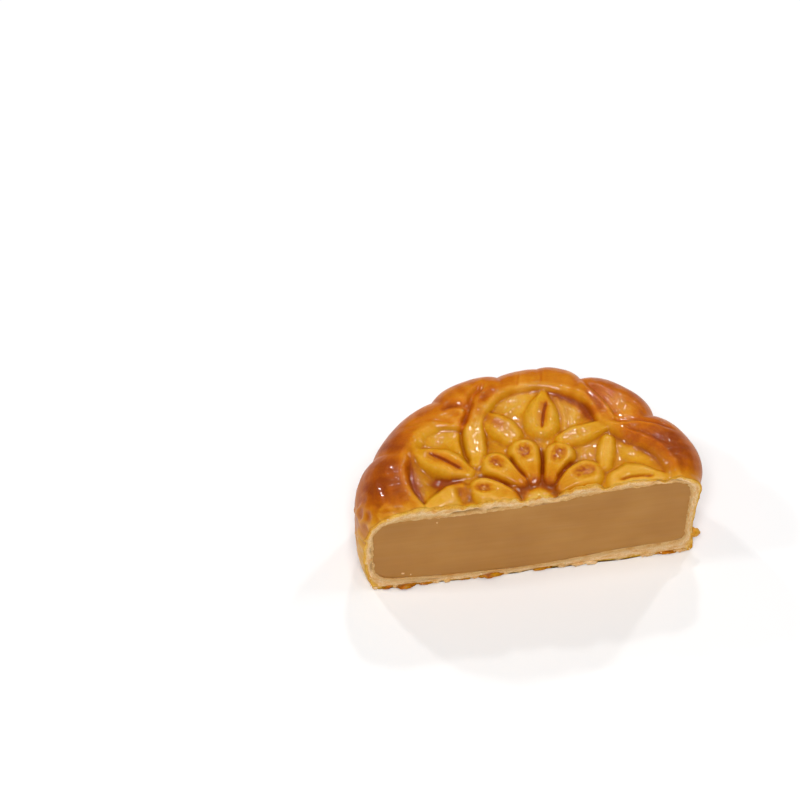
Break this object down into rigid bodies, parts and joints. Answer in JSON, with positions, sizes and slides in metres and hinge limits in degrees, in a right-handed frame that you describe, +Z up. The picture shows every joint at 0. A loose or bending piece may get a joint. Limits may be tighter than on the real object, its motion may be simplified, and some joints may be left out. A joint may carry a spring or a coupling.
{
  "type": "half lotus seed mooncake",
  "caption": "Half of a round moulded mooncake, cut flat through the middle: glazed pastry shell with a flower in relief on top, filled with smooth lotus seed paste.",
  "frame": {"origin": "on the flat underside, 17 mm behind the cut, under the middle of the half cake", "axes": "+Z up, +X to the right along the cut when the cut face is looked at, +Y from the cut into the cake"},
  "size_m": [0.0844, 0.0412, 0.0348],
  "materials": {
    "baked_crust": "egg-washed baked pastry, glossy golden brown on top, pale and crumbly at the cut",
    "lotus_seed_paste": "dense smooth paste, satin tan, cut with a knife"
  },
  "bodies": {
    "root": {"crust": "baked_crust", "lotus_paste": "lotus_seed_paste"}
  },
  "joints": []
}
